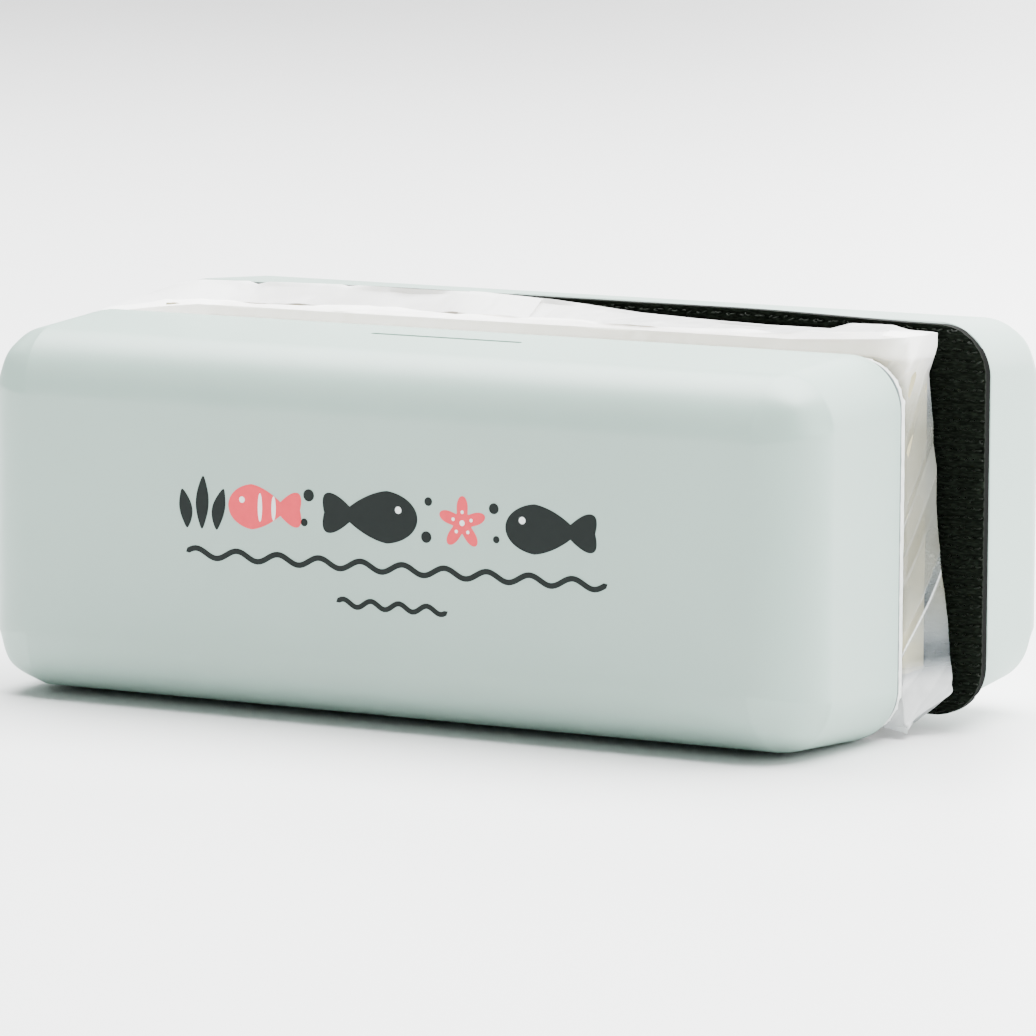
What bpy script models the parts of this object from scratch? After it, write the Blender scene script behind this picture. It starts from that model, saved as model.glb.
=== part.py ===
"""Magnetic glass cleaner for an aquarium: two padded magnet halves with a wrapped card spacer.

The outer half (handle) and the floating half are moulded shells that face each other. Each one
is built in its own frame, x along the length, y into the shell from its rim and z up, and is
then placed by its parent empty. The object stands on its long side, +Z up, with the origin at
the middle of its bottom. All lengths are in metres.
"""

import math

import bmesh
import bpy
from mathutils import Vector

# Outside sizes
LENGTH = 0.133  # of each half, at its rim
HEIGHT = 0.053
OUTER_DEPTH = 0.0270  # rim to outer face
FLOAT_DEPTH = 0.0246
GAP = 0.0150  # between the two rims
FLOAT_SHIFT = 0.0063  # the floating half sits this far to the right
FLOAT_LIFT = 0.0034  # and this far up

# The moulded shells
WALL = 0.0018
DRAFT = 0.0013  # the face is smaller than the rim by this on every side
RIM_CORNER = 0.0073
FACE_ROUND = 0.0086
LIP_WIDTH = 0.0013  # an undrafted band along the rim
LIP_STEP = 0.00015
LEDGE_DEPTH = 0.0036  # where the ledge that carries the base plate starts
LEDGE_THICK = 0.0016
LEDGE_REACH = 0.0020
SLOT_LENGTH = 0.0240
SLOT_WIDTH = 0.0010
SLOT_CUT = 0.0010
SLOT_FROM_RIM = 0.0075

# What closes and fills the shells
CLEAR = 0.0003
PLATE_RECESS = 0.0002
PLATE_THICK = 0.0020
SEAL_THICK = 0.0008
MAGNET_LENGTH = 0.0480
MAGNET_WIDTH = 0.0190
OUTER_MAGNET_THICK = 0.0100
FLOAT_MAGNET_THICK = 0.0045
MAGNET_START = 0.0026
TRAY_WALL = 0.0016
TRAY_SHORT = 0.0015  # the tray is this much shallower than its magnets
YOKE_SIZE = (0.1000, 0.0410)
YOKE_THICK = 0.0015
FOAM_SIZE = (0.1120, 0.0400)
FOAM_ROUND = 0.0055

# The pads
TAPE_THICK = 0.0003
TAPE_START = 0.0001
FELT_THICK = 0.0020
HOOK_THICK = 0.0023
FELT_SIZE = (0.1320, 0.0520)
HOOK_SIZE = (0.1330, 0.0540)  # as wide as the rim and a little taller
HOOK_DROP = 0.0007  # so that it hangs this far below the middle of the rim

# The spacer
FILM_THICK = 0.00025
FILM_LENGTH = 0.1334
FILM_SHIFT = 0.0004
FILM_TOP = 0.0559
FILM_SLOPE = 0.0143  # the empty left end of the wrap slopes down over this length
FILM_DROP = 0.0037
BOARD_LENGTH = 0.1180
BOARD_SHIFT = 0.0065  # the board lies at the right of the wrap
BOARD_BOTTOM = 0.0090
BOARD_TOP = 0.0539
LINER_THICK = 0.0004
FOLD_RADIUS = 0.0038  # outside of the fold, half the folded board's thickness
END_CORNER = 0.0009  # of the two scored corners of the outer liner's flat end
FLUTE_THICK = 0.0003
FLUTE_PITCH = 0.0066

# Places
TOTAL_DEPTH = OUTER_DEPTH + GAP + FLOAT_DEPTH
OUTER_RIM_Y = -TOTAL_DEPTH / 2 + OUTER_DEPTH
FLOAT_RIM_Y = OUTER_RIM_Y + GAP
OUTER_X = -FLOAT_SHIFT / 2
FLOAT_X = FLOAT_SHIFT / 2

COLOURS = {
    "shell": ((0.66, 0.73, 0.70), 0.34, 0.0),
    "base": ((0.55, 0.60, 0.58), 0.45, 0.0),
    "seal": ((0.30, 0.32, 0.31), 0.55, 0.0),
    "tray": ((0.10, 0.10, 0.11), 0.50, 0.0),
    "ferrite": ((0.045, 0.043, 0.045), 0.62, 0.2),
    "steel": ((0.55, 0.56, 0.58), 0.32, 1.0),
    "foam": ((0.84, 0.83, 0.78), 0.90, 0.0),
    "tape": ((0.80, 0.76, 0.62), 0.60, 0.0),
    "felt": ((0.82, 0.82, 0.78), 0.95, 0.0),
    "hook": ((0.008, 0.010, 0.008), 0.70, 0.0),
    "card": ((0.58, 0.46, 0.33), 0.85, 0.0),
    "film": ((0.86, 0.89, 0.90), 0.12, 0.0),
}


def new_collection(name):
    group = bpy.data.collections.new(name)
    bpy.context.scene.collection.children.link(group)
    return group


def make_material(name, colour, roughness, metallic):
    material = bpy.data.materials.new(name)
    material.use_nodes = True
    shader = material.node_tree.nodes["Principled BSDF"]
    shader.inputs["Base Color"].default_value = (*colour, 1.0)
    shader.inputs["Roughness"].default_value = roughness
    shader.inputs["Metallic"].default_value = metallic
    return material


def edges_along(bm, axis):
    """The straight edges that run along one axis, give or take a draft."""
    found = []
    for edge in bm.edges:
        run = (edge.verts[1].co - edge.verts[0].co).normalized()
        if abs(run[axis]) > 0.8:
            found.append(edge)
    return found


def round_edges(bm, edges, radius, segments):
    bmesh.ops.bevel(bm, geom=edges, offset=radius, offset_type="OFFSET", segments=segments,
                    profile=0.5, affect="EDGES", clamp_overlap=True)


def box_mesh(size, centre):
    bm = bmesh.new()
    bmesh.ops.create_cube(bm, size=1.0)
    bmesh.ops.scale(bm, vec=Vector(size), verts=bm.verts)
    bmesh.ops.translate(bm, vec=Vector(centre), verts=bm.verts)
    return bm


def finish(bm, name, group, parent=None, material=None, smooth=False):
    """Turns a bmesh into an object of the group, under the half's empty."""
    bmesh.ops.recalc_face_normals(bm, faces=bm.faces)
    mesh = bpy.data.meshes.new(name)
    bm.to_mesh(mesh)
    bm.free()
    if smooth:
        mesh.shade_smooth()
        mesh.set_sharp_from_angle(angle=math.radians(35))
    thing = bpy.data.objects.new(name, mesh)
    group.objects.link(thing)
    thing.parent = parent
    if material:
        mesh.materials.append(MATERIALS[material])
    return thing


def plate(name, width, height, y0, y1, corner, material, parent, edge=0.0):
    """A flat piece from y0 to y1 with round corners and, if wanted, softened edges."""
    bm = box_mesh((width, y1 - y0, height), (0, (y0 + y1) / 2, 0))
    if corner:
        round_edges(bm, edges_along(bm, 1), corner, 6)
    if edge:
        rims = [e for e in bm.edges if abs(e.verts[0].co.y - e.verts[1].co.y) < 1e-6]
        rims = [e for e in rims if any(abs(f.normal.y) > 0.9 for f in e.link_faces)]
        round_edges(bm, rims, edge, 2)
    return finish(bm, name, PARTS, parent, material, smooth=bool(corner))


def cut(target, cutter, name, operation="DIFFERENCE"):
    modifier = target.modifiers.new(name, "BOOLEAN")
    modifier.operation = operation
    modifier.solver = "EXACT"
    modifier.object = cutter
    cutter.hide_render = True
    cutter.display_type = "WIRE"


def cup(depth, inset, mouth, name, group, parent, material=None):
    """The outside of a shell, or with an inset the hollow inside it.

    The box is drafted towards its face. A float layer of bevel weights gives its four corners
    and the edges round its face their own radii in one Bevel modifier.
    """
    back = depth - inset
    bm = box_mesh((LENGTH - 2 * inset, back - mouth, HEIGHT - 2 * inset), (0, (back + mouth) / 2, 0))
    steps = (LIP_WIDTH, LIP_WIDTH + 0.0003)
    for y in steps:
        bmesh.ops.bisect_plane(bm, geom=bm.verts[:] + bm.edges[:] + bm.faces[:],
                               plane_co=(0, y, 0), plane_no=(0, 1, 0))
    for vert in bm.verts:
        if vert.co.y > LIP_WIDTH + 1e-5:
            part = (vert.co.y - LIP_WIDTH) / (back - LIP_WIDTH)
            step = 0.0 if inset else LIP_STEP
            shrink = max(step, DRAFT * part)
            vert.co.x -= math.copysign(shrink, vert.co.x)
            vert.co.z -= math.copysign(shrink, vert.co.z)
    weights = bm.edges.layers.float.new("bevel_weight_edge")
    radius = FACE_ROUND - inset
    corner = RIM_CORNER - inset
    for edge in bm.edges:
        a, b = edge.verts
        if abs(a.co.y - b.co.y) > 1e-6:
            edge[weights] = corner / radius
        elif a.co.y > back - 1e-6:
            edge[weights] = 1.0
    thing = finish(bm, name, group, parent, material)
    bevel = thing.modifiers.new("rounding", "BEVEL")
    bevel.limit_method = "WEIGHT"
    bevel.width = radius
    bevel.segments = 9
    bevel.use_clamp_overlap = False
    return thing


def make_shell(half, depth, parent):
    shell = cup(depth, 0.0, 0.0, half + "_shell", PARTS, parent, "shell")
    hollow = cup(depth, WALL, -0.002, half + "_hollow", CUTTERS, parent)
    cut(shell, hollow, "hollow")

    inner = (LENGTH - 2 * WALL, HEIGHT - 2 * WALL)
    y0, y1 = LEDGE_DEPTH, LEDGE_DEPTH + LEDGE_THICK
    bm = box_mesh((inner[0] + WALL, y1 - y0, inner[1] + WALL), (0, (y0 + y1) / 2, 0))
    round_edges(bm, edges_along(bm, 1), RIM_CORNER - WALL / 2, 6)
    ledge = finish(bm, half + "_ledge", CUTTERS, parent)
    bm = box_mesh((inner[0] - 2 * LEDGE_REACH, 0.01, inner[1] - 2 * LEDGE_REACH), (0, y0, 0))
    round_edges(bm, edges_along(bm, 1), RIM_CORNER - WALL - LEDGE_REACH, 6)
    mouth = finish(bm, half + "_ledge_mouth", CUTTERS, parent)
    cut(ledge, mouth, "mouth")
    cut(shell, ledge, "ledge", "UNION")

    bm = box_mesh((SLOT_LENGTH, SLOT_WIDTH, 0.004), (0, SLOT_FROM_RIM, HEIGHT / 2 - SLOT_CUT + 0.002))
    round_edges(bm, edges_along(bm, 2), SLOT_WIDTH * 0.45, 3)
    slot = finish(bm, half + "_slot", CUTTERS, parent)
    cut(shell, slot, "slot")
    shell.data.shade_smooth()
    shell.data.set_sharp_from_angle(angle=math.radians(35))
    return shell


def make_base(half, parent):
    width = LENGTH - 2 * WALL - 2 * CLEAR
    height = HEIGHT - 2 * WALL - 2 * CLEAR
    corner = RIM_CORNER - WALL - CLEAR
    back = PLATE_RECESS + PLATE_THICK
    plate(half + "_base_plate", width, height, PLATE_RECESS, back, corner, "base", parent)

    y0 = back + CLEAR
    y1 = y0 + SEAL_THICK
    reach = LEDGE_REACH - CLEAR
    seal = plate(half + "_seal_ring", width, height, y0, y1, corner, "seal", parent)
    bm = box_mesh((width - 2 * reach, 0.01, height - 2 * reach), (0, y0, 0))
    round_edges(bm, edges_along(bm, 1), corner - reach, 6)
    opening = finish(bm, half + "_seal_opening", CUTTERS, parent)
    cut(seal, opening, "opening")


def make_magnets(half, thick, parent):
    pocket = (MAGNET_LENGTH + 2 * CLEAR, MAGNET_WIDTH + 2 * CLEAR)
    pitch = (pocket[0] + TRAY_WALL, pocket[1] + TRAY_WALL)
    tray_y1 = MAGNET_START + thick - TRAY_SHORT
    tray = plate(half + "_magnet_tray", 2 * pitch[0] + TRAY_WALL, 2 * pitch[1] + TRAY_WALL,
                 MAGNET_START, tray_y1, 0.0012, "tray", parent)
    number = 0
    for z in (0.5, -0.5):
        for x in (-0.5, 0.5):
            number += 1
            place = (x * pitch[0], MAGNET_START + thick / 2, z * pitch[1])
            bm = box_mesh((pocket[0], thick + 0.02, pocket[1]), place)
            hole = finish(bm, "%s_pocket_%d" % (half, number), CUTTERS, parent)
            cut(tray, hole, "pocket_%d" % number)
            bm = box_mesh((MAGNET_LENGTH, thick, MAGNET_WIDTH), (0, 0, 0))
            round_edges(bm, bm.edges[:], 0.0005, 1)
            magnet = finish(bm, "%s_magnet_%d" % (half, number), PARTS, parent, "ferrite")
            magnet.location = place
    return MAGNET_START + thick


def make_foam(half, y0, depth, parent):
    y1 = depth - WALL - CLEAR
    bm = box_mesh((FOAM_SIZE[0], y1 - y0, FOAM_SIZE[1]), (0, (y0 + y1) / 2, 0))
    edges = edges_along(bm, 1)
    edges += [e for e in bm.edges if min(v.co.y for v in e.verts) > y1 - 1e-6]
    round_edges(bm, edges, FOAM_ROUND, 3)
    finish(bm, half + "_foam_block", PARTS, parent, "foam", smooth=True)


def make_pad(half, name, size, drop, thick, parent):
    tape_end = -TAPE_START - TAPE_THICK
    plate(half + "_pad_tape", LENGTH - 0.003, HEIGHT - 0.003, tape_end, -TAPE_START,
          RIM_CORNER - 0.0015, "tape", parent)
    pad_start = tape_end - TAPE_START
    pad = plate(half + "_" + name, *size, pad_start - thick, pad_start, RIM_CORNER - 0.0003,
                name.split("_")[0], parent, edge=0.0004)
    pad.location.z = -drop
    return -pad_start + thick


def fold_path(radius, end_gap, step):
    """Points along a board folded in half: the front leg, the fold at the right, the back leg.

    Each point comes with its outward direction. The legs lie at this radius on either side of
    the fold's centre, and the points are about one step apart.
    """
    centre = BOARD_SHIFT + BOARD_LENGTH / 2 - FOLD_RADIUS
    leg = BOARD_LENGTH - FOLD_RADIUS - end_gap
    total = 2 * leg + math.pi * radius
    count = int(round(total / step))
    points = []
    for i in range(count + 1):
        run = total * i / count
        if run < leg:
            points.append(((centre - leg + run, -radius), (0.0, -1.0)))
        elif run > total - leg:
            points.append(((centre - leg + total - run, radius), (0.0, 1.0)))
        else:
            turn = (run - leg) / radius
            out = (math.sin(turn), -math.cos(turn))
            points.append(((centre + radius * out[0], radius * out[1]), out))
    return points


def make_ply(name, y_mid, outline, thick, parent):
    """One paper ply of the folded board: its outline drawn up the board as an open strip."""
    bm = bmesh.new()
    rows = []
    for z in (BOARD_BOTTOM, BOARD_TOP):
        rows.append([bm.verts.new((x, y_mid + y, z)) for x, y in outline])
    for i in range(len(outline) - 1):
        bm.faces.new((rows[0][i], rows[0][i + 1], rows[1][i + 1], rows[1][i]))
    mesh = bpy.data.meshes.new(name)
    bm.to_mesh(mesh)
    bm.free()
    ply = bpy.data.objects.new(name, mesh)
    PARTS.objects.link(ply)
    ply.parent = parent
    mesh.materials.append(MATERIALS["card"])
    wall = ply.modifiers.new("paper", "SOLIDIFY")
    wall.thickness = thick
    wall.offset = 0.0


def leg_and_fold(radius):
    """A liner's outline: two points for each straight leg and a fine half circle between."""
    centre = BOARD_SHIFT + BOARD_LENGTH / 2 - FOLD_RADIUS
    left = BOARD_SHIFT - BOARD_LENGTH / 2
    outline = [(left, -radius)]
    for i in range(13):
        turn = math.pi * i / 12
        outline.append((centre + radius * math.sin(turn), -radius * math.cos(turn)))
    outline.append((left, radius))
    return outline


def squared_end(half):
    """The outer liner's outline: a leg, a flat end between two scored corners, and a leg."""
    left = BOARD_SHIFT - BOARD_LENGTH / 2
    end = BOARD_SHIFT + BOARD_LENGTH / 2 - FOLD_RADIUS + half
    outline = [(left, -half)]
    for y, start in ((END_CORNER - half, -math.pi / 2), (half - END_CORNER, 0.0)):
        for i in range(5):
            turn = start + math.pi * i / 8
            outline.append((end + END_CORNER * (math.cos(turn) - 1), y + END_CORNER * math.sin(turn)))
    outline.append((left, half))
    return outline


def make_board(y_mid, half, parent):
    """A corrugated board folded in half round its inner liner, with its fold at the right."""
    outer = half - LINER_THICK / 2
    inner = CLEAR / 2 + LINER_THICK / 2
    make_ply("card_outer_liner", y_mid, squared_end(outer), LINER_THICK, parent)
    make_ply("card_inner_liner", y_mid, leg_and_fold(inner), LINER_THICK, parent)

    middle = (outer + inner) / 2
    swing = (outer - inner - LINER_THICK - FLUTE_THICK) / 2 - CLEAR
    waves = []
    for i, ((x, y), (out_x, out_y)) in enumerate(fold_path(middle, 0.0004, FLUTE_PITCH / 8)):
        push = swing * math.cos(math.pi * i / 4)
        waves.append((x + out_x * push, y + out_y * push))
    make_ply("card_flute", y_mid, waves, FLUTE_THICK, parent)


def make_spacer(y0, y1, parent):
    bm = box_mesh((FILM_LENGTH, y1 - y0, FILM_TOP), (0, (y0 + y1) / 2, FILM_TOP / 2))
    bmesh.ops.bisect_plane(bm, geom=bm.verts[:] + bm.edges[:] + bm.faces[:],
                           plane_co=(FILM_SLOPE - FILM_LENGTH / 2, 0, 0), plane_no=(1, 0, 0))
    for vert in bm.verts:
        if vert.co.x < -FILM_LENGTH / 2 + 1e-6 and vert.co.z > FILM_TOP / 2:
            vert.co.z -= FILM_DROP
    left = [f for f in bm.faces if f.calc_center_median().x < -FILM_LENGTH / 2 + 1e-6]
    bmesh.ops.delete(bm, geom=left, context="FACES_ONLY")
    film = finish(bm, "film_wrap", PARTS, parent, "film")
    skin = film.modifiers.new("film", "SOLIDIFY")
    skin.thickness = FILM_THICK
    skin.offset = -1.0
    skin.use_even_offset = True

    film.location.x = FILM_SHIFT
    make_board((y0 + y1) / 2, FOLD_RADIUS, parent)


def new_empty(name, location, turn=0.0):
    empty = bpy.data.objects.new(name, None)
    empty.empty_display_size = 0.02
    empty.location = location
    empty.rotation_euler = (0, 0, turn)
    PARTS.objects.link(empty)
    return empty


for old in list(bpy.data.objects):
    bpy.data.objects.remove(old, do_unlink=True)

PARTS = new_collection("magnetic_glass_cleaner")
CUTTERS = new_collection("cutters")
MATERIALS = {name: make_material(name, *looks) for name, looks in COLOURS.items()}

outer_half = new_empty("outer_half", (OUTER_X, OUTER_RIM_Y, HEIGHT / 2), math.pi)
make_shell("outer", OUTER_DEPTH, outer_half)
make_base("outer", outer_half)
magnets_end = make_magnets("outer", OUTER_MAGNET_THICK, outer_half)
yoke_end = magnets_end + CLEAR + YOKE_THICK
plate("outer_yoke_plate", *YOKE_SIZE, magnets_end + CLEAR, yoke_end, 0.002, "steel", outer_half)
make_foam("outer", yoke_end + CLEAR, OUTER_DEPTH, outer_half)
felt_front = make_pad("outer", "felt_pad", FELT_SIZE, 0.0, FELT_THICK, outer_half)

float_half = new_empty("float_half", (FLOAT_X, FLOAT_RIM_Y, HEIGHT / 2 + FLOAT_LIFT))
make_shell("float", FLOAT_DEPTH, float_half)
make_base("float", float_half)
magnets_end = make_magnets("float", FLOAT_MAGNET_THICK, float_half)
make_foam("float", magnets_end + CLEAR, FLOAT_DEPTH, float_half)
hook_front = make_pad("float", "hook_pad", HOOK_SIZE, HOOK_DROP, HOOK_THICK, float_half)

spacer = new_empty("spacer", (OUTER_X, 0, 0))
make_spacer(OUTER_RIM_Y + felt_front + CLEAR, FLOAT_RIM_Y - hook_front - CLEAR, spacer)

bpy.context.view_layer.update()
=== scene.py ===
"""The finished look of a magnetic aquarium glass cleaner, as it is sold.

A handle half and a floating half, both moulded in pale satin plastic, hold a card spacer in a
crumpled clear film between their pads. Each operator makes one group of pieces; run as a
script, the file builds everything, with the camera, the floor and the lights.
"""

import math

import bmesh
import bpy
import numpy as np
from mathutils import Matrix, Vector, geometry, noise


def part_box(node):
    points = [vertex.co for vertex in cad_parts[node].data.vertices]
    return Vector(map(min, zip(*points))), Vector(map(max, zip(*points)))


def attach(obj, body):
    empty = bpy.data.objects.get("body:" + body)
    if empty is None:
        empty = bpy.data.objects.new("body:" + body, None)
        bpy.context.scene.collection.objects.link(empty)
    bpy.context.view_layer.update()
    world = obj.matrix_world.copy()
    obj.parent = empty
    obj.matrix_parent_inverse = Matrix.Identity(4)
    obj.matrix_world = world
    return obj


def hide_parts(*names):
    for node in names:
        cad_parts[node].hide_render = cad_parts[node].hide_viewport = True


bl_info = {
    "name": "Magnetic Glass Cleaner",
    "version": (1, 0, 0),
    "blender": (4, 5, 0),
    "location": "View3D > Sidebar > Glass Cleaner",
    "description": "Builds the shells, pads, print and wrapped spacer of a magnetic glass cleaner",
    "category": "Object",
}

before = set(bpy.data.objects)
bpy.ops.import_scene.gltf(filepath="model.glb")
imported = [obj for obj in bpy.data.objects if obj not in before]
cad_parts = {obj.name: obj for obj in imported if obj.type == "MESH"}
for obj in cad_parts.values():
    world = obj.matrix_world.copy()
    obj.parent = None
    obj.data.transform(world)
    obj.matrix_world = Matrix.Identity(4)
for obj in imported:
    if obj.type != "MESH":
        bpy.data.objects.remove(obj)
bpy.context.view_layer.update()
MM = 0.001


class Half:
    """Where one moulded half is: its rim plane, the side its depth runs to, and its middle."""

    def __init__(self, name, body, side):
        low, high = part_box(name + "_shell")
        self.name = name
        self.body = body
        self.side = side
        self.x = (low.x + high.x) / 2
        self.z = (low.z + high.z) / 2
        self.length = high.x - low.x
        self.height = high.z - low.z
        self.depth = high.y - low.y
        self.rim = high.y if side < 0 else low.y

    def at(self, depth):
        """The y of a plane this deep behind the rim."""
        return self.rim + self.side * depth


OUTER = Half("outer", "outer_half", -1)
FLOAT = Half("float", "float_half", 1)


# ---------------------------------------------------------------- shader maths


class Value:
    """A socket that Python's operators turn into Math nodes."""

    def __init__(self, look, socket):
        self.look = look
        self.socket = socket

    def math(self, operation, *others):
        return self.look.node("ShaderNodeMath", {"operation": operation}, {
            i: item for i, item in enumerate((self,) + others)})

    def __add__(self, other):
        return self.math("ADD", other)

    def __sub__(self, other):
        return self.math("SUBTRACT", other)

    def __mul__(self, other):
        return self.math("MULTIPLY", other)

    def __truediv__(self, other):
        return self.math("DIVIDE", other)

    def __pow__(self, other):
        return self.math("POWER", other)

    def __radd__(self, other):
        return self.math("ADD", other)

    def __rmul__(self, other):
        return self.math("MULTIPLY", other)

    def __rsub__(self, other):
        return self.look.node("ShaderNodeMath", {"operation": "SUBTRACT"}, {0: other, 1: self})

    def clamp(self, low=0.0, high=1.0):
        return self.math("MAXIMUM", low).math("MINIMUM", high)

    def smooth(self, low, high):
        """Rises softly from 0 at low to 1 at high."""
        return self.look.node("ShaderNodeMapRange", {"interpolation_type": "SMOOTHSTEP"}, {
            "Value": self, "From Min": low, "From Max": high})


class Look:
    """One procedural material, built node by node."""

    def __init__(self, name):
        self.material = bpy.data.materials.new(name)
        self.material.use_nodes = True
        self.tree = self.material.node_tree
        self.shader = self.tree.nodes["Principled BSDF"]
        self.output = self.tree.nodes["Material Output"]
        self.place = self.node("ShaderNodeTexCoord", {}, {}, "Object")

    def node(self, kind, settings, values, out=0):
        """Adds a node: its settings first, then what each input holds or is linked to."""
        made = self.tree.nodes.new(kind)
        for key, setting in settings.items():
            setattr(made, key, setting)
        for key, value in values.items():
            self.put(made.inputs[key], value)
        return Value(self, made.outputs[out])

    def put(self, socket, value):
        if isinstance(value, Value):
            self.tree.links.new(value.socket, socket)
        else:
            socket.default_value = value

    def set(self, **values):
        """Sets the shader's sockets; a name's underscores stand for spaces."""
        for key, value in values.items():
            self.put(self.shader.inputs[key.replace("_", " ")], value)
        return self.material

    def stretched(self, scale, turn=(0.0, 0.0, 0.0)):
        return self.node("ShaderNodeMapping", {}, {
            "Vector": self.place, "Scale": scale, "Rotation": turn})

    def noise(self, scale, detail=2.0, rough=0.5, vector=None, distortion=0.0):
        return self.node("ShaderNodeTexNoise", {}, {
            "Vector": vector or self.place, "Scale": scale, "Detail": detail,
            "Roughness": rough, "Distortion": distortion})

    def cells(self, scale, feature="F1"):
        return self.node("ShaderNodeTexVoronoi", {"feature": feature}, {
            "Vector": self.place, "Scale": scale})

    def mix(self, factor, first, second):
        """Blends two colours."""
        made = self.tree.nodes.new("ShaderNodeMix")
        made.data_type = "RGBA"
        self.put(made.inputs[0], factor)
        for socket, value in ((made.inputs[6], first), (made.inputs[7], second)):
            self.put(socket, value if isinstance(value, Value) else (*value, 1.0))
        return Value(self, made.outputs[2])

    def axis(self, index):
        """One coordinate of the place being shaded: 0, 1 or 2 for x, y or z."""
        parts = self.tree.nodes.new("ShaderNodeSeparateXYZ")
        self.put(parts.inputs[0], self.place)
        return Value(self, parts.outputs[index])

    def bump(self, height, strength, distance):
        return self.node("ShaderNodeBump", {}, {
            "Height": height, "Strength": strength, "Distance": distance})


def shade(colour, factor):
    return tuple(c * factor for c in colour)


def satin_plastic(name, colour, roughness):
    """Moulded plastic: a fine eroded texture, faint mottling and a few shallow scuffs."""
    look = Look(name)
    mottle = look.noise(38.0, 3.0).smooth(0.3, 0.7)
    grain = look.noise(5200.0, 2.0)
    scuff_lines = look.noise(900.0, 3.0, vector=look.stretched((0.07, 1.0, 1.0), (0.2, 0.1, 0.5)))
    scuffs = scuff_lines.smooth(0.64, 0.74) * look.noise(55.0, 2.0).smooth(0.5, 0.72)
    tint = look.mix(mottle, shade(colour, 0.975), shade(colour, 1.01))
    tint = look.mix(scuffs * 0.35, tint, shade(colour, 1.12))
    rough = roughness + look.noise(120.0, 3.0) * 0.06 + scuffs * 0.12
    relief = look.bump(grain, 0.16, 0.00004)
    return look.set(Base_Color=tint, Roughness=rough, Normal=relief, IOR=1.68,
                    Specular_IOR_Level=0.5)


def printed_ink(name, colour):
    """Pad-printed ink: even, slightly glossy, with pinholes and a soft orange peel."""
    look = Look(name)
    pinholes = look.cells(2600.0).smooth(0.0, 0.12)
    tint = look.mix(look.noise(900.0, 3.0), shade(colour, 0.92), shade(colour, 1.06))
    tint = look.mix(pinholes, shade(colour, 1.35), tint)
    look.set(Specular_IOR_Level=0.12)
    return look.set(Base_Color=tint, Roughness=0.42 + look.noise(1500.0) * 0.12,
                    Normal=look.bump(look.noise(2200.0, 2.0), 0.2, 0.00003))


def felt_look():
    look = Look("pressed felt")
    fibres = look.noise(1500.0, 5.0, 0.65, vector=look.stretched((1.0, 1.0, 0.35)), distortion=0.8)
    clumps = look.noise(260.0, 3.0)
    tint = look.mix(clumps, (0.74, 0.77, 0.75), (0.84, 0.86, 0.84))
    tint = look.mix(fibres.smooth(0.35, 0.6), (0.62, 0.65, 0.63), tint)
    # painted shade: a dark band along the felt's back edge by the adhesive, which reads as the shadowed
    # seam between felt and rim
    felt_seam_shade = look.axis(1).smooth(-4.95 * MM, -5.25 * MM)
    tint = look.mix(felt_seam_shade, tint, (0.10, 0.13, 0.13))
    look.set(Sheen_Weight=0.2, Sheen_Roughness=0.5)
    return look.set(Base_Color=tint, Roughness=0.93 + clumps * 0.05,
                    Normal=look.bump(fibres, 0.7, 0.00012))


def hook_look(name, base, gleam):
    """Black polyester: fine twisted yarn and a faint green cast."""
    look = Look(name)
    yarn = look.noise(4200.0, 3.0, vector=look.stretched((0.25, 1.0, 1.0)))
    tint = look.mix(yarn.smooth(0.35, 0.7), shade(base, 0.5), shade(base, 1.7))
    tint = look.mix(look.noise(700.0).smooth(0.62, 0.7) * 0.4, tint, shade(base, 2.6))
    # painted shade: the cut edge behind the hooks, in the shade of the rim, is darker than the face
    side = look.axis(1).smooth(FLOAT.rim - 1.55 * MM, FLOAT.rim - 1.3 * MM)
    tint = look.mix(side, tint, shade(base, 0.12))
    look.set(Specular_IOR_Level=gleam)
    return look.set(Base_Color=tint, Roughness=0.5 + yarn * 0.25,
                    Normal=look.bump(yarn, 0.5, 0.00006))


def kraft_look(name, colour):
    """Kraft paper: long fibres, darker specks and the flutes' faint lines."""
    look = Look(name)
    fibres = look.noise(1300.0, 4.0, 0.6, vector=look.stretched((0.2, 1.0, 1.0)))
    specks = look.cells(1100.0).smooth(0.16, 0.05)
    tint = look.mix(fibres, shade(colour, 0.86), shade(colour, 1.12))
    tint = look.mix(look.noise(60.0, 2.0), tint, shade(colour, 1.06))
    tint = look.mix(specks * 0.4, tint, shade(colour, 0.5))
    return look.set(Base_Color=tint, Roughness=0.82 + fibres * 0.12,
                    Normal=look.bump(fibres, 0.35, 0.00008))


def film_look():
    """Thin clear film: see-through where it is flat, milky where it is creased or doubled, with painted
    highlights on folds, painted shade on facets and a painted glow along the top.
    """
    look = Look("clear film")
    facing = look.node("ShaderNodeLayerWeight", {}, {"Blend": 0.3}, "Facing")
    veil = look.node("ShaderNodeAttribute", {"attribute_name": "veil"}, {}, "Fac")
    tone = look.node("ShaderNodeAttribute", {"attribute_name": "tone"}, {}, "Fac")
    haze = look.noise(260.0, 4.0, 0.6)
    glow = look.node("ShaderNodeAttribute", {"attribute_name": "glow"}, {}, "Fac")
    alpha = 0.03 + veil * 0.88 + facing * 0.12 + tone * 0.55 + haze.smooth(0.45, 0.8) * 0.06
    relief = look.bump(look.noise(700.0, 4.0, 0.6), 0.25, 0.0001)
    tint = look.mix(veil.smooth(0.0, 0.8), (0.42, 0.49, 0.53), (0.92, 0.93, 0.93))
    # painted shade: grey-brown on some facets, standing in for dark reflections in the obliquely seen
    # film
    tint = look.mix(tone, tint, (0.20, 0.195, 0.14))
    # painted light: the film's top emits a cream glow, standing in for overhead light scattered through
    # the film
    look.set(Emission_Strength=1.5)
    return look.set(Base_Color=tint, Roughness=0.20 + veil * 0.25, IOR=1.5,
                    Alpha=alpha.clamp(0.0, 0.97), Normal=relief,
                    Emission_Color=look.mix(glow, (0.0, 0.0, 0.0), (1.0, 0.94, 0.82)))


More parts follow.
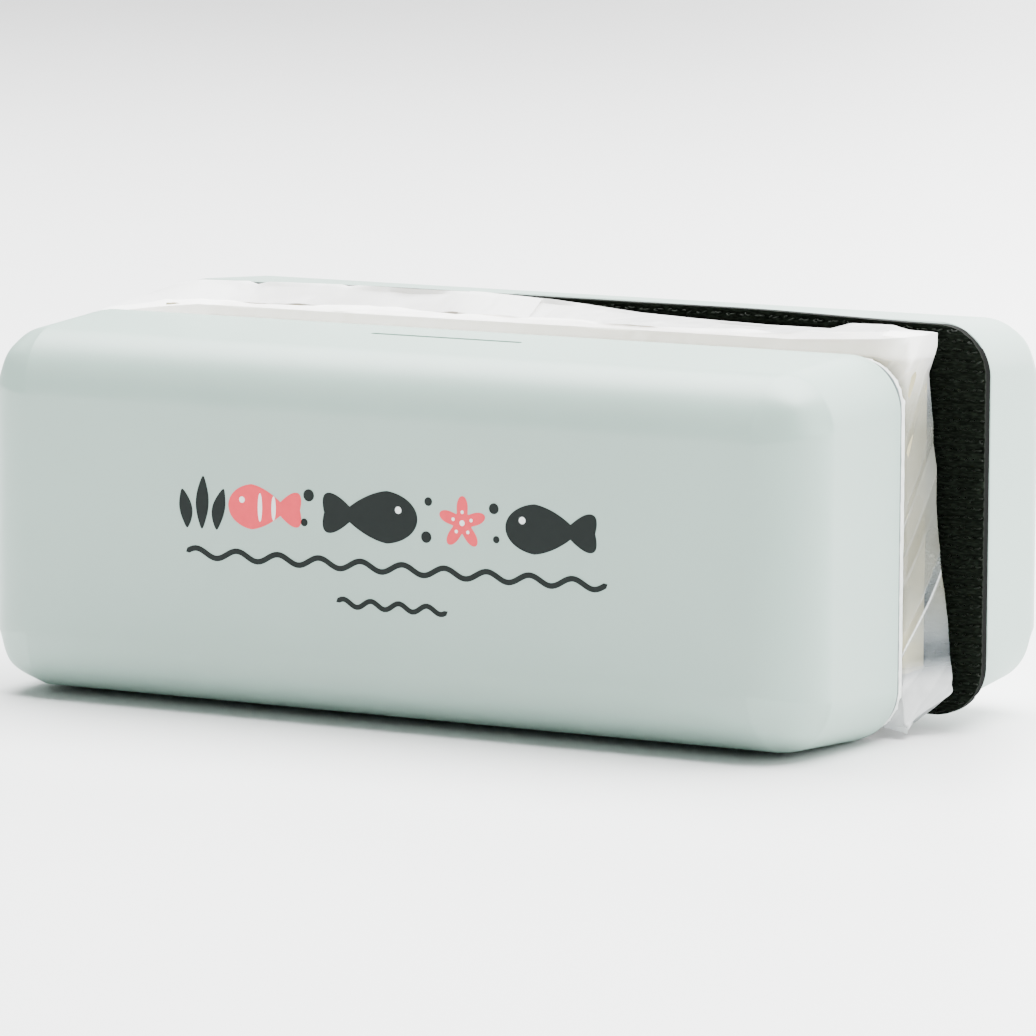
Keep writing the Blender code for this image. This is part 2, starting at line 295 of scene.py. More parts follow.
def ferrite_look():
    look = Look("sintered ferrite")
    grain = look.noise(2400.0, 4.0, 0.6)
    pits = look.cells(900.0).smooth(0.12, 0.02)
    tint = look.mix(grain, (0.030, 0.029, 0.031), (0.062, 0.060, 0.062))
    tint = look.mix(pits, tint, (0.016, 0.015, 0.016))
    relief = look.bump(grain + pits * -0.8, 0.5, 0.00008)
    return look.set(Base_Color=tint, Metallic=0.15, Roughness=0.5 + grain * 0.2, Normal=relief)


def steel_look():
    look = Look("rolled steel")
    rolled = look.noise(1800.0, 3.0, vector=look.stretched((0.03, 1.0, 1.0)))
    stain = look.noise(70.0, 3.0).smooth(0.55, 0.75)
    tint = look.mix(rolled, (0.46, 0.47, 0.49), (0.62, 0.63, 0.65))
    tint = look.mix(stain * 0.3, tint, (0.30, 0.26, 0.22))
    return look.set(Base_Color=tint, Metallic=1.0, Roughness=0.26 + rolled * 0.14 + stain * 0.15,
                    Normal=look.bump(rolled, 0.25, 0.00003))


def foam_look():
    look = Look("closed-cell foam")
    walls = look.cells(1100.0, "DISTANCE_TO_EDGE").smooth(0.0, 0.09)
    tint = look.mix(walls, (0.90, 0.89, 0.85), (0.74, 0.73, 0.68))
    tint = look.mix(look.noise(45.0, 2.0) * 0.4, tint, (0.86, 0.84, 0.76))
    return look.set(Base_Color=tint, Roughness=0.9 + walls * 0.05,
                    Normal=look.bump(1.0 - walls, 0.6, 0.0002))


def rubber_look():
    look = Look("silicone seal")
    bloom = look.noise(160.0, 3.0)
    tint = look.mix(bloom, (0.26, 0.28, 0.27), (0.36, 0.38, 0.37))
    return look.set(Base_Color=tint, Roughness=0.48 + bloom * 0.16,
                    Normal=look.bump(look.noise(1700.0, 2.0), 0.2, 0.00004))


def tape_look():
    look = Look("adhesive sheet")
    weave = look.noise(2000.0, 3.0, vector=look.stretched((1.0, 1.0, 0.15)))
    tint = look.mix(weave, (0.09, 0.10, 0.10), (0.15, 0.16, 0.16))
    return look.set(Base_Color=tint, Roughness=0.5 + weave * 0.15,
                    Normal=look.bump(weave, 0.3, 0.00004))


def floor_look():
    look = Look("studio floor")
    tint = look.mix(look.noise(3.0, 2.0), (0.84, 0.845, 0.845), (0.87, 0.875, 0.875))
    return look.set(Base_Color=tint, Roughness=0.42 + look.noise(40.0) * 0.05, IOR=1.6)


# ---------------------------------------------------------------- modelling helpers


def deselect():
    if bpy.context.object and bpy.context.object.mode != "OBJECT":
        bpy.ops.object.mode_set(mode="OBJECT")
    bpy.ops.object.select_all(action="DESELECT")


def activate(piece):
    deselect()
    piece.select_set(True)
    bpy.context.view_layer.objects.active = piece


def settle(piece):
    """Moves a piece's place, turn and size into its mesh."""
    activate(piece)
    bpy.ops.object.transform_apply(location=True, rotation=True, scale=True)
    return piece


def add_box(name, low, high):
    deselect()
    size = [b - a for a, b in zip(low, high)]
    centre = [(a + b) / 2 for a, b in zip(low, high)]
    bpy.ops.mesh.primitive_cube_add(size=1.0, location=centre, scale=size)
    piece = bpy.context.object
    piece.name = piece.data.name = name
    return settle(piece)


def choose(piece, kind, test):
    """In edit mode, selects the vertices, edges or faces that pass a test."""
    bpy.ops.mesh.select_mode(type=kind)
    bpy.ops.mesh.select_all(action="DESELECT")
    bm = bmesh.from_edit_mesh(piece.data)
    items = {"VERT": bm.verts, "EDGE": bm.edges, "FACE": bm.faces}[kind]
    for item in items:
        item.select_set(bool(test(item)))
    bm.select_flush_mode()
    bmesh.update_edit_mesh(piece.data)


def edit(piece):
    activate(piece)
    bpy.ops.object.mode_set(mode="EDIT")


def face_outward(piece):
    edit(piece)
    bpy.ops.mesh.select_all(action="SELECT")
    bpy.ops.mesh.normals_make_consistent(inside=False)
    edit_done()


def edit_done():
    bpy.ops.object.mode_set(mode="OBJECT")


def apply_modifier(piece, kind, name, **settings):
    activate(piece)
    modifier = piece.modifiers.new(name, kind)
    for key, value in settings.items():
        setattr(modifier, key, value)
    bpy.ops.object.modifier_apply(modifier=name)


def carve(piece, cutter, operation="DIFFERENCE"):
    apply_modifier(piece, "BOOLEAN", "carve", operation=operation, solver="EXACT", object=cutter)
    bpy.data.objects.remove(cutter, do_unlink=True)


def round_corners(piece, radius, segments, axis=1):
    """Rounds the four long corners of a box that run along one axis."""
    edit(piece)
    choose(piece, "EDGE", lambda e: abs((e.verts[0].co - e.verts[1].co).normalized()[axis]) > 0.9)
    bpy.ops.mesh.bevel(offset=radius, segments=segments, affect="EDGES", clamp_overlap=True)
    edit_done()


def smooth_shading(piece, degrees=38.0, weighted=True):
    activate(piece)
    bpy.ops.object.shade_smooth_by_angle(angle=math.radians(degrees))
    if weighted:
        apply_modifier(piece, "WEIGHTED_NORMAL", "even faces", keep_sharp=True, weight=60)


def dress(piece, material, body, slot, *nodes):
    """Gives a finished piece its material, its body and the solids that it stands for."""
    piece.data.materials.clear()
    piece.data.materials.append(material)
    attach(piece, body)
    if nodes:
        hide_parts(*nodes)


def mesh_piece(name, points, faces):
    mesh = bpy.data.meshes.new(name)
    mesh.from_pydata([tuple(p) for p in points], [], [tuple(f) for f in faces])
    mesh.update()
    piece = bpy.data.objects.new(name, mesh)
    bpy.context.scene.collection.objects.link(piece)
    return piece


# ---------------------------------------------------------------- settings


class ShellSettings(bpy.types.PropertyGroup):
    wall: bpy.props.FloatProperty(
        name="Wall", description="Thickness of the moulded wall", default=1.8 * MM,
        unit="LENGTH", precision=5)
    draft: bpy.props.FloatProperty(
        name="Draft", description="How much the face is smaller than the rim, on each side",
        default=1.3 * MM, unit="LENGTH", precision=5)
    corner: bpy.props.FloatProperty(
        name="Corner", description="Radius of the outline's corners", default=7.3 * MM,
        unit="LENGTH", precision=5)
    edge: bpy.props.FloatProperty(
        name="Edge", description="Radius of the edge round the face", default=8.6 * MM,
        unit="LENGTH", precision=5)
    lip: bpy.props.FloatProperty(
        name="Lip", description="Width of the straight band along the rim", default=1.3 * MM,
        unit="LENGTH", precision=5)
    step: bpy.props.FloatProperty(
        name="Step", description="Height of the step behind that band", default=0.07 * MM,
        unit="LENGTH", precision=5)
    groove_length: bpy.props.FloatProperty(
        name="Groove length", description="Length of the clip groove in the top wall",
        default=24.0 * MM, unit="LENGTH", precision=5)
    groove_width: bpy.props.FloatProperty(
        name="Groove width", description="Width and depth of the clip groove",
        default=1.0 * MM, unit="LENGTH", precision=5)
    groove_place: bpy.props.FloatProperty(
        name="Groove place", description="From the rim to the clip groove's middle",
        default=7.5 * MM, unit="LENGTH", precision=5)
    colour: bpy.props.FloatVectorProperty(
        name="Colour", description="Plastic of both shells", default=(0.325, 0.455, 0.40),
        subtype="COLOR", min=0.0, max=1.0)
    roughness: bpy.props.FloatProperty(
        name="Roughness", description="Sheen of the plastic", default=0.40,
        subtype="FACTOR", min=0.0, max=1.0)


class PadSettings(bpy.types.PropertyGroup):
    row_pitch: bpy.props.FloatProperty(
        name="Row pitch", description="Between the rows of hooks", default=1.35 * MM,
        unit="LENGTH", precision=5)
    hook_pitch: bpy.props.FloatProperty(
        name="Hook pitch", description="Between the hooks of a row", default=1.12 * MM,
        unit="LENGTH", precision=5)
    hook_height: bpy.props.FloatProperty(
        name="Hook height", description="How far the hooks stand up", default=0.95 * MM,
        unit="LENGTH", precision=5)
    felt_fuzz: bpy.props.FloatProperty(
        name="Felt fuzz", description="Unevenness of the felt", default=0.06 * MM,
        unit="LENGTH", precision=5)


class SpacerSettings(bpy.types.PropertyGroup):
    crumple: bpy.props.FloatProperty(
        name="Crumple", description="Depth of the film's loose folds", default=0.8 * MM,
        unit="LENGTH", precision=5)
    pressed: bpy.props.FloatProperty(
        name="Pressed crumple", description="Depth of the film's folds between the pads",
        default=0.22 * MM, unit="LENGTH", precision=5)
    washboard: bpy.props.FloatProperty(
        name="Washboard", description="How far the flutes show through the liner",
        default=0.05 * MM, unit="LENGTH", precision=5)


class StageSettings(bpy.types.PropertyGroup):
    azimuth: bpy.props.FloatProperty(
        name="Azimuth", description="Camera's angle round the object, from the front",
        default=math.radians(28.723), subtype="ANGLE")
    elevation: bpy.props.FloatProperty(
        name="Elevation", description="Camera's angle above the horizon",
        default=math.radians(7.623), subtype="ANGLE")
    roll: bpy.props.FloatProperty(
        name="Roll", description="Camera's turn about its own line of sight",
        default=math.radians(0.25), subtype="ANGLE")
    distance: bpy.props.FloatProperty(
        name="Distance", description="Camera's distance from its target", default=0.92435,
        unit="LENGTH")
    lens: bpy.props.FloatProperty(
        name="Lens", description="Focal length", default=227.47, subtype="DISTANCE_CAMERA")
    key: bpy.props.FloatProperty(
        name="Overhead light", description="Power of the large overhead softbox",
        default=150.0, subtype="POWER")
    rear: bpy.props.FloatProperty(
        name="Rear light", description="Power of the wide softbox behind the object",
        default=210.0, subtype="POWER")
    fill: bpy.props.FloatProperty(
        name="Side light", description="Power of the softbox at the right", default=10.0,
        subtype="POWER")
    front: bpy.props.FloatProperty(
        name="Front light", description="Power of the softbox near the camera", default=3.0,
        subtype="POWER")


def settings(group):
    return getattr(bpy.context.scene, "glass_cleaner_" + group)


# ---------------------------------------------------------------- shells


def make_cup(name, half, inset, mouth, segments):
    """A drafted box with rounded corners and a rounded face, open or closed as it is used.

    With no inset it is the outside of a shell. With one it is the hollow inside it.
    """
    s = settings("shell")
    back = half.depth - inset
    ys = sorted((half.at(mouth), half.at(back)))
    wide, high = half.length / 2 - inset, half.height / 2 - inset
    cup = add_box(name, (half.x - wide, ys[0], half.z - high), (half.x + wide, ys[1], half.z + high))
    if inset:
        stations = [(s.lip, 0.0)]
    else:
        stations = [(0.0, 0.24 * MM), (0.07 * MM, 0.09 * MM), (0.24 * MM, 0.0), (s.lip, 0.0),
                    (s.lip + 0.05 * MM, 0.35 * s.step), (s.lip + 0.12 * MM, s.step),
                    (s.lip + s.step / s.draft * (half.depth - s.lip), s.step)]
    edit(cup)
    for depth, _ in stations[1 if not inset else 0:]:
        bpy.ops.mesh.select_all(action="SELECT")
        bpy.ops.mesh.bisect(plane_co=(0, half.at(depth), 0), plane_no=(0, 1, 0))
    for depth, shrink in stations + [(back, s.draft)]:
        y = half.at(depth)
        choose(cup, "VERT", lambda v, y=y: abs(v.co.y - y) < 1e-6)
        bpy.ops.transform.resize(value=(1 - shrink / wide, 1, 1 - shrink / high),
                                 center_override=(half.x, y, half.z))
    edit_done()
    radius = s.edge - inset
    weights = cup.data.attributes.new("bevel_weight_edge", "FLOAT", "EDGE")
    end = half.at(back)
    for edge in cup.data.edges:
        a, b = (cup.data.vertices[i].co for i in edge.vertices)
        if abs(a.y - b.y) > 1e-6:
            weights.data[edge.index].value = (s.corner - inset) / radius
        elif abs(a.y - end) < 1e-6 and abs(b.y - end) < 1e-6:
            weights.data[edge.index].value = 1.0
    apply_modifier(cup, "BEVEL", "rounding", limit_method="WEIGHT", width=radius,
                   segments=segments, use_clamp_overlap=False)
    return cup


def make_ring(name, half, y0, y1, outer, inner, corner):
    """A flat rounded ring, as a box with a smaller box taken out; the sizes are half sizes."""
    ys = sorted((half.at(y0), half.at(y1)))
    ring = add_box(name, (half.x - outer[0], ys[0], half.z - outer[1]),
                   (half.x + outer[0], ys[1], half.z + outer[1]))
    round_corners(ring, corner, 10)
    hole = add_box(name + "_hole", (half.x - inner[0], ys[0] - 0.01, half.z - inner[1]),
                   (half.x + inner[0], ys[1] + 0.01, half.z + inner[1]))
    round_corners(hole, corner - (outer[0] - inner[0]), 10)
    carve(ring, hole)
    return ring


def make_groove_cutter(half, length, width, depth):
    s = settings("shell")
    y = half.at(s.groove_place)
    top = half.z + half.height / 2
    cutter = add_box("groove_cutter", (half.x - length / 2, y - width / 2, top - depth),
                     (half.x + length / 2, y + width / 2, top + 0.002))
    round_corners(cutter, width * 0.49, 6, axis=2)
    return cutter


class CLEANER_OT_shells(bpy.types.Operator):
    """Makes both moulded shells, with rim step, inner ledge and clip groove"""

    bl_idname = "cleaner.shells"
    bl_label = "Make shells"

    def execute(self, context):
        s = settings("shell")
        plastic = satin_plastic("pale satin plastic", tuple(s.colour), s.roughness)
        for half in (OUTER, FLOAT):
            shell = make_cup(half.name + "_shell_body", half, 0.0, 0.0, 22)
            carve(shell, make_cup("hollow", half, s.wall, -2 * MM, 8))
            wide, high = half.length / 2 - s.wall, half.height / 2 - s.wall
            ledge = make_ring("ledge", half, 3.6 * MM, 5.2 * MM,
                              (wide + s.wall / 2, high + s.wall / 2),
                              (wide - 2 * MM, high - 2 * MM), s.corner - s.wall / 2)
            carve(shell, ledge, "UNION")
            carve(shell, make_groove_cutter(half, s.groove_length, s.groove_width,
                                            s.groove_width))
            carve(shell, make_groove_cutter(half, s.groove_length + 0.36 * MM,
                                            s.groove_width + 0.36 * MM, 0.16 * MM))
            smooth_shading(shell)
            dress(shell, plastic, half.body, "shell_plastic", half.name + "_shell")
        return {"FINISHED"}


# ---------------------------------------------------------------- print


def add_disc(name, x, z, width, height, points=56):
    """A flat disc that faces the front, stretched to a width and a height."""
    deselect()
    bpy.ops.mesh.primitive_circle_add(vertices=points, radius=0.5, fill_type="NGON",
                                      rotation=(math.pi / 2, 0, 0))
    piece = settle(bpy.context.object)
    piece.name = piece.data.name = name
    edit(piece)
    bpy.ops.mesh.select_all(action="SELECT")
    bpy.ops.transform.resize(value=(width, 1, height), center_override=(0, 0, 0))
    bpy.ops.transform.translate(value=(x, 0, z))
    edit_done()
    return piece


INK = 0.07 * MM


def reshape(piece, rule):
    for vert in piece.data.vertices:
        vert.co.x, vert.co.z = rule(vert.co.x, vert.co.z)


def add_fish(name, x, z, length, height, facing=1.0):
    """A fish seen from the side: a full body, a little pointed behind, and a forked tail."""
    body = add_disc(name, 0, 0, 1.0, 1.0, 72)

    def plump(px, pz):
        narrow = 0.42 + 0.58 * min(max(px + 0.5, 0.0) * 1.7, 1.0) ** 0.7
        return x + facing * length * (0.13 + 0.74 * px), z + height * pz * narrow

    reshape(body, plump)
    tail = add_disc(name + "_tail", 0, 0, 1.0, 1.0, 72)

    def fork(px, pz):
        spread = 0.22 + 0.78 * (0.5 - px) ** 0.9
        notch = 0.34 * max(0.0, -px) * (1 - min(abs(pz) * 2.2, 1.0))
        return x - facing * length * (0.315 - 0.39 * (px + notch)), z + height * pz * spread * 1.05

    reshape(tail, fork)
    return [thicken(body), thicken(tail)]


def thicken(shape):
    """Gives a flat shape a slight depth either way from its plane, to be laid on a face."""
    face_outward(shape)
    apply_modifier(shape, "SOLIDIFY", "ink", thickness=INK, offset=0.0)
    return shape


def add_star(name, x, z, size, arms=5):
    """A starfish with round arm tips."""
    star = add_disc(name, 0, 0, 2.0, 2.0, 120)

    def grow(px, pz):
        turn = math.atan2(px, pz)
        reach = size / 2 * (0.66 + 0.34 * math.cos(arms * turn)) ** 0.8
        return x + reach * math.sin(turn), z + reach * math.cos(turn)

    reshape(star, grow)
    return thicken(star)


def add_wave(name, x0, x1, z, amplitude, pitch, width):
    """A wavy stripe with round ends, as a strip of faces."""
    deselect()
    count = int((x1 - x0) / (0.4 * MM))
    bpy.ops.mesh.primitive_grid_add(x_subdivisions=count, y_subdivisions=2, size=1.0)
    stripe = bpy.context.object
    stripe.name = stripe.data.name = name
    for vert in stripe.data.vertices:
        part = vert.co.x + 0.5
        side = vert.co.y * 2
        reach = part * (x1 - x0)
        end = min(reach, x1 - x0 - reach) / (width / 2)
        half = width / 2 * math.sqrt(max(0.0, 1 - max(0.0, 1 - end) ** 2)) if end < 1 else width / 2
        slope = amplitude * 2 * math.pi / pitch * math.cos(2 * math.pi * reach / pitch)
        lean = math.atan(slope)
        vert.co = (x0 + reach - side * half * math.sin(lean), 0.0,
                   z + amplitude * math.sin(2 * math.pi * reach / pitch) + side * half * math.cos(lean))
    return stripe


def finish_print(pieces, name, material, proud):
    """Fuses the shapes of one ink and lays them on the outer face, this far proud of it."""
    ink = pieces[0]
    for piece in pieces[1:]:
        carve(ink, piece, "UNION")
    ink.name = ink.data.name = name
    for vert in ink.data.vertices:
        vert.co.x += OUTER.x
        vert.co.y += OUTER.at(OUTER.depth) - proud + INK / 2
    dress(ink, material, OUTER.body, "shell_plastic")


def spots(rows, row, points=36):
    """Round or oval spots, each given by its place, width and height in millimetres."""
    return [thicken(add_disc("spot", x * MM, row + z * MM, w * MM, h * MM, points))
            for x, z, w, h in rows]


class CLEANER_OT_print(bpy.types.Operator):
    """Prints a plain row of sea creatures over two wave lines on the outer face"""

    bl_idname = "cleaner.print"
    bl_label = "Make print"

    def execute(self, context):
        row = 29.9 * MM
        dark = add_fish("fish", -1.2 * MM, row, 15.6 * MM, 7.4 * MM)
        dark += add_fish("fish", 27.6 * MM, row - 0.1 * MM, 14.6 * MM, 7.0 * MM, -1.0)
        dark += spots(((-10.6, 2.2, 1.7, 1.7), (-11.3, -1.6, 1.1, 1.1), (8.3, 2.6, 1.2, 1.2),
                       (8.0, -2.3, 1.6, 1.6), (18.5, 2.3, 1.5, 1.5), (18.9, -1.9, 1.0, 1.0)), row)
        for x, lean, tall in ((-30.2, -0.8, 5.4), (-27.8, 0.2, 7.4), (-25.4, 1.1, 5.8)):
            dark.append(self.leaf(x, lean, tall, row - 3.6 * MM))
        dark.append(thicken(add_wave("wave", -30.4 * MM, 36.0 * MM, 22.9 * MM, 0.62 * MM,
                                     6.6 * MM, 0.80 * MM)))
        dark.append(thicken(add_wave("wave", -6.2 * MM, 11.4 * MM, 17.6 * MM, 0.5 * MM, 4.4 * MM,
                                     0.74 * MM)))
        finish_print(dark, "print_dark", printed_ink("dark ink", (0.010, 0.014, 0.013)), 0.035 * MM)
        coral = add_fish("fish", -17.4 * MM, row, 12.2 * MM, 6.4 * MM, -1.0)
        coral.append(add_star("star", 13.6 * MM, row, 7.4 * MM))
        finish_print(coral, "print_coral", printed_ink("coral ink", (0.78, 0.06, 0.085)),
                     0.035 * MM)
        light = spots(((3.6, 1.1, 1.0, 1.0), (22.9, 1.0, 1.0, 1.0), (-21.3, 0.9, 0.9, 0.9),
                       (-18.4, 0.0, 0.7, 4.0), (-16.2, 0.0, 0.7, 3.4), (13.6, 0.0, 0.8, 0.8),
                       (13.6, 1.5, 0.5, 0.5), (15.0, 0.45, 0.5, 0.5), (14.5, -1.2, 0.5, 0.5),
                       (12.7, -1.2, 0.5, 0.5), (12.2, 0.45, 0.5, 0.5)), row, 24)
        finish_print(light, "print_white", printed_ink("white ink", (0.82, 0.88, 0.86)), 0.05 * MM)
        return {"FINISHED"}

    def leaf(self, x, lean, tall, foot):
        leaf = add_disc("leaf", 0, 0, 2.1 * MM, tall * MM, 48)

        def grow(px, pz):
            up = pz / (tall * MM) + 0.5
            narrow = 0.55 + 0.45 * math.sin(math.pi * up)
            return x * MM + px * narrow + lean * MM * up * up, foot + up * tall * MM

        reshape(leaf, grow)
        return thicken(leaf)


# ---------------------------------------------------------------- pads


def fuzz(point, scale, seed):
    return noise.noise(Vector(point) * scale + Vector((seed, 0.0, 0.0)))


FELT_CORNER = 6.8 * MM


class CLEANER_OT_felt_pad(bpy.types.Operator):
    """Makes the felt pad of the outer half"""

    bl_idname = "cleaner.felt_pad"
    bl_label = "Make felt pad"

    def execute(self, context):
        s = settings("pad")
        low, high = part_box("outer_felt_pad")
        pad = add_box("felt_pad", low, high)
        round_corners(pad, FELT_CORNER, 12)
        apply_modifier(pad, "REMESH", "felt", mode="VOXEL", voxel_size=0.55 * MM)
        moved = []
        for vert in pad.data.vertices:
            p, normal = vert.co.copy(), vert.normal.copy()
            edge = 1.0 if abs(normal.y) < 0.8 else 0.5
            lift = s.felt_fuzz * edge * (fuzz(p, 900.0, 1.0) + 0.7 * fuzz(p, 260.0, 5.0) - 0.4)
            p += normal * lift
            p.y = min(max(p.y, low.y), high.y)
            moved.append(p)
        pad.data.vertices.foreach_set("co", np.array(moved).ravel())
        activate(pad)
        bpy.ops.object.shade_smooth()
        dress(pad, felt_look(), OUTER.body, "felt", "outer_felt_pad")
        return {"FINISHED"}


def pad_reach(half_wide, half_high, corner, z):
    """Half the width of a rounded outline at one height above its middle."""
    over = abs(z) - (half_high - corner)
    if over <= 0:
        return half_wide
    return half_wide - corner + math.sqrt(max(corner * corner - over * over, 0.0))


def bowed(x, z, tall):
    """The pad's height at a place: its top edge stands a little proud between its corners."""
    middle = min(max((61 * MM - abs(x)) / (34 * MM), 0.0), 1.0)
    return z + 0.62 * MM * middle * middle * (3 - 2 * middle) * max(z / tall, 0.0) ** 3


def hook_shape(height):
    """One hook: a stem that rises from the cloth and curls over, as rings of three points."""
    line = [(0.0, -0.10), (0.0, 0.45), (0.05, 0.75), (0.20, 0.97), (0.40, 0.99), (0.53, 0.80),
            (0.54, 0.62)]
    points, faces = [], []
    for i, (along, up) in enumerate(line):
        before, after = line[max(i - 1, 0)], line[min(i + 1, len(line) - 1)]
        run, rise = after[0] - before[0], after[1] - before[1]
        size = math.hypot(run, rise)
        thick = 0.135 * height * (1.0 - 0.25 * i / (len(line) - 1))
        for k in range(3):
            turn = 2 * math.pi * k / 3 + 0.5
            side, out = math.cos(turn) * thick, math.sin(turn) * thick
            points.append((along * height + out * rise / size, -(up * height - out * run / size), side))
    for i in range(len(line) - 1):
        for k in range(3):
            a, b = i * 3 + k, i * 3 + (k + 1) % 3
            faces.append((a, b, b + 3, a + 3))
    last = len(points) - 3
    faces.append((last, last + 1, last + 2))
    faces.append((2, 1, 0))
    return np.array(points), np.array(faces[:-2]), faces[-2:]


class CLEANER_OT_hook_pad(bpy.types.Operator):
    """Makes the ribbed base cloth and the rows of hooks of the floating half's scrub pad"""

    bl_idname = "cleaner.hook_pad"
    bl_label = "Make hook pad"

    def execute(self, context):
        s = settings("pad")
        low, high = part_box("float_hook_pad")
        wide, tall, corner = (high.x - low.x) / 2, (high.z - low.z) / 2, 7.0 * MM
        mid = (low + high) / 2
        cloth_y = low.y + s.hook_height
        cloth = self.make_cloth(mid, wide, tall, corner, cloth_y, high.y)
        dress(cloth, hook_look("scrub cloth", (0.0066, 0.0090, 0.0064), 0.02), FLOAT.body,
              "hook_fabric", "float_hook_pad")
        hooks = self.make_hooks(mid, wide, tall, corner, cloth_y)
        dress(hooks, hook_look("hook yarn", (0.0072, 0.0098, 0.0070), 0.05), FLOAT.body,
              "hook_fabric")
        return {"FINISHED"}

    def make_cloth(self, mid, wide, tall, corner, cloth_y, back_y):
        s = settings("pad")
        deselect()
        rows = int(2 * tall / s.row_pitch * 6)
        bpy.ops.mesh.primitive_grid_add(x_subdivisions=90, y_subdivisions=rows, size=2.0)
        cloth = bpy.context.object
        cloth.name = cloth.data.name = "scrub_cloth"
        for vert in cloth.data.vertices:
            # the rows near the top and bottom draw in to follow the rounded corners
            z = vert.co.y * tall
            x = vert.co.x * pad_reach(wide, tall, corner, min(abs(z), tall - 0.02 * MM))
            rib = math.cos(2 * math.pi * z / s.row_pitch)
            twill = 0.35 * math.cos(2 * math.pi * (x / s.hook_pitch + z / s.row_pitch / 2))
            wobble = 0.05 * MM * fuzz((x, 0.0, z), 700.0, 3.0)
            y = cloth_y - 0.11 * MM * (rib + twill) + 0.12 * MM + wobble
            vert.co = (mid.x + x, y, mid.z + bowed(x, z, tall))
        if cloth.data.polygons[0].normal.y > 0:
            cloth.data.flip_normals()
        edit(cloth)
        bpy.ops.mesh.select_all(action="SELECT")
        bpy.ops.mesh.extrude_region_move(TRANSFORM_OT_translate={"value": (0, 1.0 * MM, 0)})
        bpy.ops.transform.resize(value=(1, 0, 1), center_override=(0, back_y, 0))
        # the bound edge reaches back round the adhesive sheet, almost to the rim
        bm = bmesh.from_edit_mesh(cloth.data)
        low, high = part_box("float_pad_tape")
        for vert in bm.verts:
            if vert.select and not (low.x - 0.2 * MM < vert.co.x < high.x + 0.2 * MM
                                    and low.z - 0.2 * MM < vert.co.z < high.z + 0.2 * MM):
                vert.co.y = FLOAT.rim - 0.12 * MM
        bmesh.update_edit_mesh(cloth.data)
        bpy.ops.mesh.select_all(action="SELECT")
        bpy.ops.mesh.normals_make_consistent(inside=False)
        edit_done()
        smooth_shading(cloth, 50.0, weighted=False)
        return cloth

    def make_hooks(self, mid, wide, tall, corner, cloth_y):
        s = settings("pad")
        points, sides, ends = hook_shape(s.hook_height)
        rng = np.random.default_rng(11)
        all_points, all_faces, start = [], [], 0
        rows = int(2 * tall / s.row_pitch)
        for row in range(rows):
            z = (row - (rows - 1) / 2) * s.row_pitch
            reach = pad_reach(wide, tall, corner, z) - 0.35 * MM
            count = int(2 * reach / s.hook_pitch)
            for i in range(count + 1):
                x = -reach + 2 * reach * i / count
                turn = rng.normal(0.0, 0.35) + (math.pi if (row + i) % 2 else 0.0)
                size = min(1.0 + rng.normal(0.0, 0.05), 1.0)
                lean = rng.normal(0.0, 0.10)
                c, n = math.cos(turn), math.sin(turn)
                p = points * size
                q = np.empty_like(p)
                q[:, 0] = p[:, 0] * c - p[:, 2] * n
                q[:, 2] = p[:, 0] * n + p[:, 2] * c + lean * -p[:, 1]
                q[:, 1] = p[:, 1]
                q += (mid.x + x + rng.normal(0, 0.05 * MM), cloth_y,
                      mid.z + bowed(x, z, tall) + rng.normal(0, 0.05 * MM))
                all_points.append(q)
                all_faces.extend((sides + start).tolist())
                all_faces.extend([tuple(k + start for k in end) for end in ends])
                start += len(p)
        hooks = mesh_piece("scrub_hooks", np.vstack(all_points), all_faces)
        face_outward(hooks)
        bpy.ops.object.shade_smooth()
        return hooks


# ---------------------------------------------------------------- spacer


class Creases:
    """Crumpled relief: scattered points at random heights, joined by flat triangles."""

    def __init__(self, seed, size, spacing, turn, stretch):
        rng = np.random.default_rng(seed)
        self.turn, self.stretch = turn, stretch
        corners = np.array([(x, z) for x in (0, size[0]) for z in (0, size[1])], float)
        low, high = self.warp(corners).min(0) - spacing, self.warp(corners).max(0) + spacing
        across = np.arange(low[0], high[0] + spacing, spacing)
        up = np.arange(low[1], high[1] + spacing, spacing)
        points = np.array([(x, z) for x in across for z in up])
        points += rng.uniform(-0.42, 0.42, points.shape) * spacing
        self.heights = rng.uniform(-1.0, 1.0, len(points))
        made = geometry.delaunay_2d_cdt([Vector(p) for p in points], [], [], 0, 1e-7)
        self.points = np.array([tuple(p) for p in made[0]])
        source = [ids[0] if ids else 0 for ids in made[3]]
        self.heights = self.heights[source]
        self.triangles = [tuple(t) for t in made[2]]

    def warp(self, at):
        c, s = math.cos(self.turn), math.sin(self.turn)
        return np.stack([(at[:, 0] * c + at[:, 1] * s) / self.stretch,
                         -at[:, 0] * s + at[:, 1] * c], axis=1)

    def height(self, at):
        spots = self.warp(at)
        order = np.argsort(spots[:, 0])
        xs = spots[order, 0]
        result = np.zeros(len(at))
        for a, b, c in self.triangles:
            pa, pb, pc = self.points[a], self.points[b], self.points[c]
            lo, hi = np.searchsorted(xs, (min(pa[0], pb[0], pc[0]), max(pa[0], pb[0], pc[0])))
            if hi <= lo:
                continue
            ids = order[lo:hi]
            p = spots[ids]
            area = (pb[0] - pa[0]) * (pc[1] - pa[1]) - (pc[0] - pa[0]) * (pb[1] - pa[1])
            if abs(area) < 1e-14:
                continue
            wb = ((p[:, 0] - pa[0]) * (pc[1] - pa[1]) - (pc[0] - pa[0]) * (p[:, 1] - pa[1])) / area
            wc = ((pb[0] - pa[0]) * (p[:, 1] - pa[1]) - (p[:, 0] - pa[0]) * (pb[1] - pa[1])) / area
            inside = (wb >= -1e-9) & (wc >= -1e-9) & (wb + wc <= 1 + 1e-9)
            h = self.heights
            result[ids[inside]] = (h[a] + wb * (h[b] - h[a]) + wc * (h[c] - h[a]))[inside]
        return result


